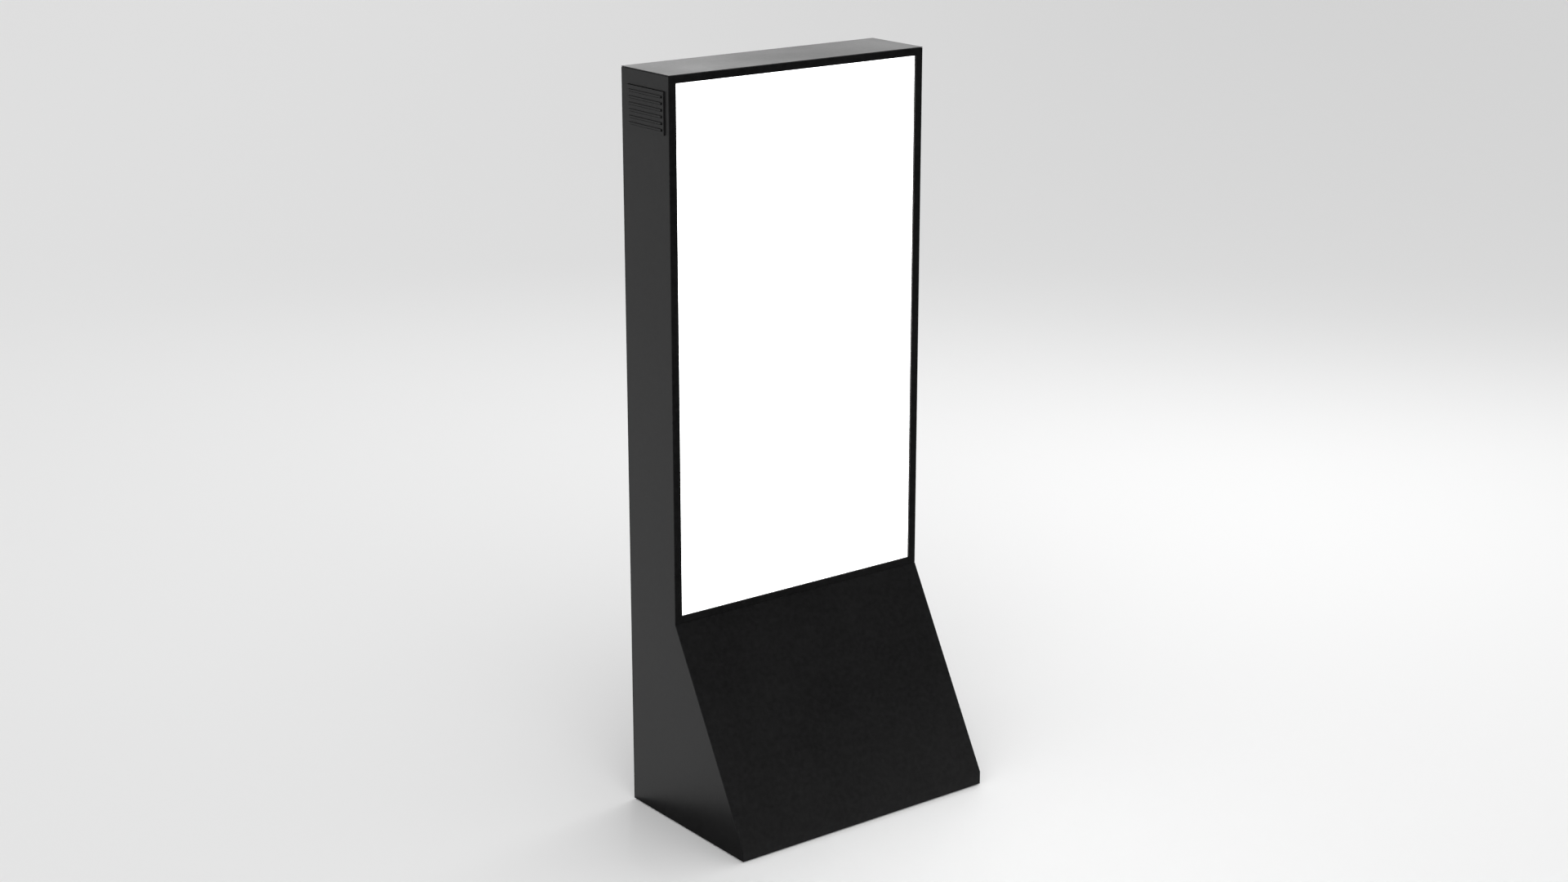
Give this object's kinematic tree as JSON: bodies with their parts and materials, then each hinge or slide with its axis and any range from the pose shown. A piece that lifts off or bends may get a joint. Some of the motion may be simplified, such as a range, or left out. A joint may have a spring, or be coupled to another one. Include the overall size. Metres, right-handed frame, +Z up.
{
  "type": "touchscreen kiosk",
  "caption": "Free-standing portrait touchscreen kiosk in folded steel with a slim cabinet, sloping toe, side vents and a lockable rear service door.",
  "frame": {"origin": "on the floor under the middle of the bounding box", "axes": "+Z up; the screen faces -Y; +X is on a visitor's right"},
  "size_m": [0.7314, 0.443, 1.776],
  "materials": {
    "black_powder_coat": "satin black powder coat, fine orange peel",
    "zinc_plated_steel": "bright zinc plate",
    "ballast_steel": "dark mill finish",
    "touch_glass": "clear polished",
    "lcd_panel": "lit display face",
    "light_guide": "clear acrylic",
    "black_plastic": "fine moulded grain",
    "ir_filter": "dark gloss infrared filter",
    "black_rubber": "matt",
    "foam_filter": "open-cell filter mat",
    "circuit_board": "green solder mask",
    "player_aluminium": "grey anodised",
    "lock_chrome": "polished",
    "bush_brass": "turned"
  },
  "bodies": {
    "cabinet": {"ballast_block": "ballast_steel", "base_plate": "zinc_plated_steel", "base_runner_left": "zinc_plated_steel", "base_runner_right": "zinc_plated_steel", "cross_rail_lower": "zinc_plated_steel", "cross_rail_upper": "zinc_plated_steel", "display_board": "circuit_board", "display_chassis": "zinc_plated_steel", "display_lead": "black_rubber", "door_pivot_pin_lower": "zinc_plated_steel", "door_pivot_pin_upper": "zinc_plated_steel", "door_seal": "black_rubber", "equipment_plate": "zinc_plated_steel", "fan_housing_left": "black_plastic", "fan_housing_right": "black_plastic", "fan_lead_left": "black_rubber", "fan_lead_right": "black_rubber", "frame_upright_left": "zinc_plated_steel", "frame_upright_right": "zinc_plated_steel", "front_bezel": "black_powder_coat", "front_slope_panel": "black_powder_coat", "glass_gasket": "black_rubber", "lcd_panel": "lcd_panel", "left_side_panel": "black_powder_coat", "light_guide": "light_guide", "mains_lead": "black_rubber", "media_player": "player_aluminium", "network_lead": "black_rubber", "network_socket": "black_plastic", "power_inlet": "black_plastic", "power_supply": "player_aluminium", "rear_frame": "black_powder_coat", "right_side_panel": "black_powder_coat", "top_cover": "black_powder_coat", "touch_board": "circuit_board", "touch_frame": "ir_filter", "touch_glass": "touch_glass", "touch_lead": "black_rubber", "vent_grille_left": "black_powder_coat", "vent_grille_right": "black_powder_coat", "video_lead": "black_rubber"},
    "door": {"rear_door": "black_powder_coat", "intake_filter": "foam_filter", "door_bush_upper": "bush_brass", "door_bush_lower": "bush_brass", "lock_barrel_upper": "lock_chrome", "lock_barrel_lower": "lock_chrome"},
    "lock_upper": {"lock_plug_upper": "lock_chrome", "lock_cam_upper": "zinc_plated_steel"},
    "lock_lower": {"lock_plug_lower": "lock_chrome", "lock_cam_lower": "zinc_plated_steel"},
    "fan_left": {"fan_rotor_left": "black_plastic"},
    "fan_right": {"fan_rotor_right": "black_plastic"},
    "rocker": {"rocker_switch": "black_plastic"},
    "fuse": {"fuse_drawer": "black_plastic"},
    "foot_front_left": {"levelling_foot_front_left": "zinc_plated_steel"},
    "foot_front_right": {"levelling_foot_front_right": "zinc_plated_steel"},
    "foot_rear_left": {"levelling_foot_rear_left": "zinc_plated_steel"},
    "foot_rear_right": {"levelling_foot_rear_right": "zinc_plated_steel"}
  },
  "joints": [
    {"name": "rear_door_hinge", "type": "hinge", "parent": "cabinet", "child": "door", "pos_m": [0.313, 0.2155, 0.945], "axis": [0, 0, -1], "range_deg": [0, 110]},
    {"name": "upper_lock_turn", "type": "hinge", "parent": "door", "child": "lock_upper", "pos_m": [-0.301, 0.2215, 1.42], "axis": [0, 1, 0], "range_deg": [0, 90]},
    {"name": "lower_lock_turn", "type": "hinge", "parent": "door", "child": "lock_lower", "pos_m": [-0.301, 0.2215, 0.45], "axis": [0, 1, 0], "range_deg": [0, 90]},
    {"name": "left_fan_spin", "type": "hinge", "parent": "cabinet", "child": "fan_left", "pos_m": [-0.339, 0.126, 1.6905], "axis": [1, 0, 0], "continuous": true},
    {"name": "right_fan_spin", "type": "hinge", "parent": "cabinet", "child": "fan_right", "pos_m": [0.339, 0.126, 1.6905], "axis": [1, 0, 0], "continuous": true},
    {"name": "power_rocker", "type": "hinge", "parent": "cabinet", "child": "rocker", "pos_m": [0.22, 0.2165, 0.09], "axis": [1, 0, 0], "range_deg": [-12, 0]},
    {"name": "fuse_drawer_slide", "type": "slide", "parent": "cabinet", "child": "fuse", "axis": [0, 1, 0], "range_m": [0, 0.018]},
    {"name": "front_left_foot_adjust", "type": "slide", "parent": "cabinet", "child": "foot_front_left", "axis": [0, 0, 1], "range_m": [-0.01, 0.002]},
    {"name": "front_right_foot_adjust", "type": "slide", "parent": "cabinet", "child": "foot_front_right", "axis": [0, 0, 1], "range_m": [-0.01, 0.002]},
    {"name": "rear_left_foot_adjust", "type": "slide", "parent": "cabinet", "child": "foot_rear_left", "axis": [0, 0, 1], "range_m": [-0.01, 0.002]},
    {"name": "rear_right_foot_adjust", "type": "slide", "parent": "cabinet", "child": "foot_rear_right", "axis": [0, 0, 1], "range_m": [-0.01, 0.002]}
  ]
}
